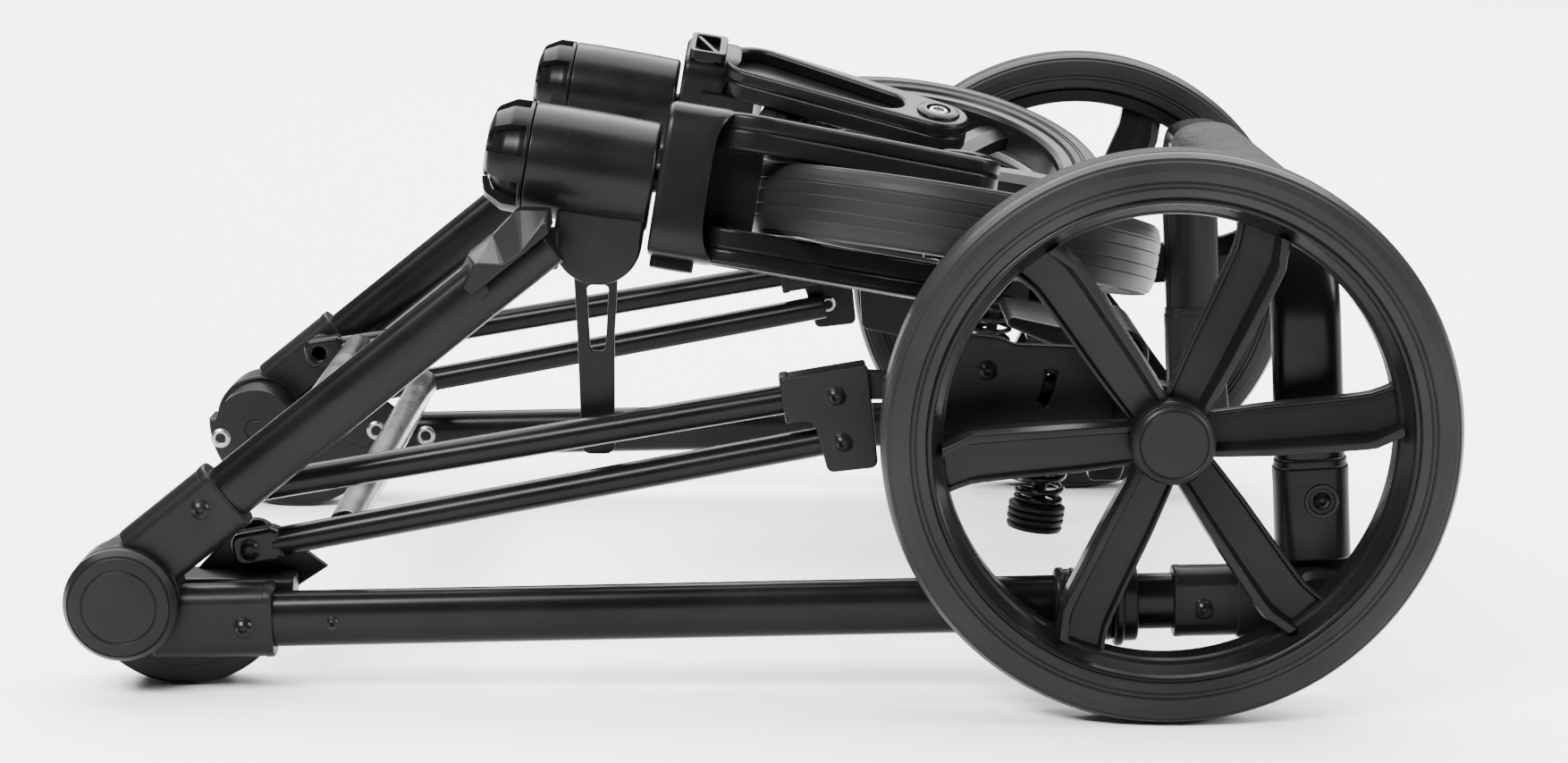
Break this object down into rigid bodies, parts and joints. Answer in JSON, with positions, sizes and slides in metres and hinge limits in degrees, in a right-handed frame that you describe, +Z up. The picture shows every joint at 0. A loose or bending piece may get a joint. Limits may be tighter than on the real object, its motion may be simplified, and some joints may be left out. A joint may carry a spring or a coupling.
{
  "type": "folding stroller chassis",
  "caption": "Folding pet stroller chassis, folded flat: legs and handle on a fold hinge, swinging rear frame with spoked wheels, swivel front casters.",
  "frame": {"origin": "middle of the footprint on the ground, under the folded chassis", "axes": "+X along the folded chassis towards the rear wheels, +Y to its left side, +Z up"},
  "size_m": [0.73, 0.6, 0.3195],
  "materials": {
    "black_tube": "satin black powder coat on steel tube",
    "black_moulding": "black moulded plastic with a fine grain",
    "gloss_moulding": "smooth black moulded plastic",
    "tyre": "dull black foam rubber",
    "spring_rubber": "ribbed black rubber",
    "spring_steel": "black enamelled spring wire",
    "bare_metal": "light grey tube and zinc plated bolts",
    "grip_wrap": "textured black wrap"
  },
  "bodies": {
    "front_frame": {"front_leg_right": "black_tube", "front_leg_left": "black_tube", "leg_socket_right": "black_moulding", "leg_socket_left": "black_moulding", "hinge_cap_right": "black_moulding", "hinge_cap_left": "black_moulding", "leg_end_cover_right": "black_moulding", "leg_end_cover_left": "black_moulding", "swivel_housing_right": "gloss_moulding", "swivel_housing_left": "gloss_moulding", "swivel_cap_right": "black_moulding", "swivel_cap_left": "black_moulding", "front_cross_tube": "black_tube"},
    "storage_latch": {"storage_latch": "black_moulding"},
    "handle": {"handle_socket_right": "black_moulding", "handle_socket_left": "black_moulding", "hinge_plate_right": "black_moulding", "hinge_plate_left": "black_moulding", "handle_tube_right": "black_tube", "handle_tube_left": "black_tube", "elbow_socket_right": "black_moulding", "elbow_socket_left": "black_moulding"},
    "release_right": {"release_sleeve_right": "black_moulding"},
    "release_left": {"release_sleeve_left": "black_moulding"},
    "grip": {"grip_socket_right": "black_moulding", "grip_socket_left": "black_moulding", "grip_tube": "black_tube", "grip_cover": "grip_wrap"},
    "drag_links": {"drag_link_right": "black_tube", "drag_link_left": "black_tube", "drag_cross_tube": "bare_metal"},
    "rear_frame": {"rear_link_right": "black_tube", "rear_link_left": "black_tube", "link_bracket_right": "black_moulding", "link_bracket_left": "black_moulding", "side_plate_right": "black_moulding", "side_plate_left": "black_moulding", "spring_cup_right": "spring_rubber", "spring_cup_left": "spring_rubber", "suspension_spring_right": "spring_steel", "suspension_spring_left": "spring_steel", "rear_cross_tube": "bare_metal"},
    "axle_carrier": {"swing_arm_right": "black_moulding", "swing_arm_left": "black_moulding", "rear_axle": "black_tube"},
    "brake": {"brake_pedal": "black_moulding"},
    "rear_wheel_right": {"rear_tyre_right": "tyre", "rear_rim_right": "gloss_moulding", "rear_hub_cap_right": "black_moulding"},
    "rear_wheel_left": {"rear_tyre_left": "tyre", "rear_rim_left": "gloss_moulding", "rear_hub_cap_left": "black_moulding"},
    "caster_right": {"fork_right": "black_moulding", "front_axle_bolt_right": "bare_metal"},
    "caster_left": {"fork_left": "black_moulding", "front_axle_bolt_left": "bare_metal"},
    "front_wheel_right": {"front_tyre_right": "tyre", "front_rim_right": "gloss_moulding"},
    "front_wheel_left": {"front_tyre_left": "tyre", "front_rim_left": "gloss_moulding"}
  },
  "joints": [
    {"name": "fold", "type": "hinge", "parent": "handle", "child": "front_frame", "pos_m": [-0.334, 0, 0.0523], "axis": [0, -1, 0], "range_deg": [0, 136]},
    {"name": "rear_fold", "type": "hinge", "parent": "front_frame", "child": "rear_frame", "pos_m": [-0.2916, 0, 0.1023], "axis": [0, 1, 0], "range_deg": [0, 57.7]},
    {"name": "drag_fold", "type": "hinge", "parent": "handle", "child": "drag_links", "pos_m": [-0.2711, 0, 0.0735], "axis": [0, 1, 0], "range_deg": [-95.6, 0]},
    {"name": "suspension", "type": "hinge", "parent": "rear_frame", "child": "axle_carrier", "pos_m": [0.1233, 0, 0.1753], "axis": [0, 1, 0], "range_deg": [0, 8], "stiffness_Nm_per_rad": 120, "springref_deg": -8.59, "deforming": ["suspension_spring_right", "suspension_spring_left"]},
    {"name": "brake", "type": "hinge", "parent": "axle_carrier", "child": "brake", "pos_m": [0.215, 0, 0.15], "axis": [0, 1, 0], "range_deg": [0, 25]},
    {"name": "rear_spin_right", "type": "hinge", "parent": "axle_carrier", "child": "rear_wheel_right", "pos_m": [0.215, -0.281, 0.15], "axis": [0, 1, 0], "continuous": true},
    {"name": "rear_spin_left", "type": "hinge", "parent": "axle_carrier", "child": "rear_wheel_left", "pos_m": [0.215, 0.281, 0.15], "axis": [0, 1, 0], "continuous": true},
    {"name": "release_right", "type": "slide", "parent": "handle", "child": "release_right", "axis": [0.9997, 0, 0.0262], "range_m": [0, 0.015], "stiffness_N_per_m": 400, "springref_m": -0.01},
    {"name": "release_left", "type": "slide", "parent": "handle", "child": "release_left", "axis": [0.9997, 0, 0.0262], "range_m": [0, 0.015], "stiffness_N_per_m": 400, "springref_m": -0.01},
    {"name": "grip_tilt", "type": "hinge", "parent": "handle", "child": "grip", "pos_m": [0.2992, 0, 0.05287], "axis": [0, 1, 0], "range_deg": [0, 90]},
    {"name": "caster_swivel_right", "type": "hinge", "parent": "front_frame", "child": "caster_right", "pos_m": [-0.088, -0.188, 0.277], "axis": [0.9877, 0, -0.1564], "range_deg": [-50, 40]},
    {"name": "caster_swivel_left", "type": "hinge", "parent": "front_frame", "child": "caster_left", "pos_m": [-0.088, 0.188, 0.277], "axis": [0.9877, 0, -0.1564], "range_deg": [-40, 50]},
    {"name": "front_spin_right", "type": "hinge", "parent": "caster_right", "child": "front_wheel_right", "pos_m": [0.10892, -0.14762, 0.2386], "axis": [0.1541, 0.1736, 0.9727], "continuous": true},
    {"name": "front_spin_left", "type": "hinge", "parent": "caster_left", "child": "front_wheel_left", "pos_m": [0.10826, 0.14859, 0.23447], "axis": [-0.1504, 0.2756, -0.9494], "continuous": true},
    {"name": "latch_swing", "type": "hinge", "parent": "front_frame", "child": "storage_latch", "pos_m": [-0.086, -0.192, 0.233], "axis": [0, 1, 0], "range_deg": [0, 30]}
  ],
  "couplings": [
    {"joint": "rear_fold", "follows": "fold", "ratio": 0.42366},
    {"joint": "drag_fold", "follows": "fold", "ratio": -0.70248}
  ]
}
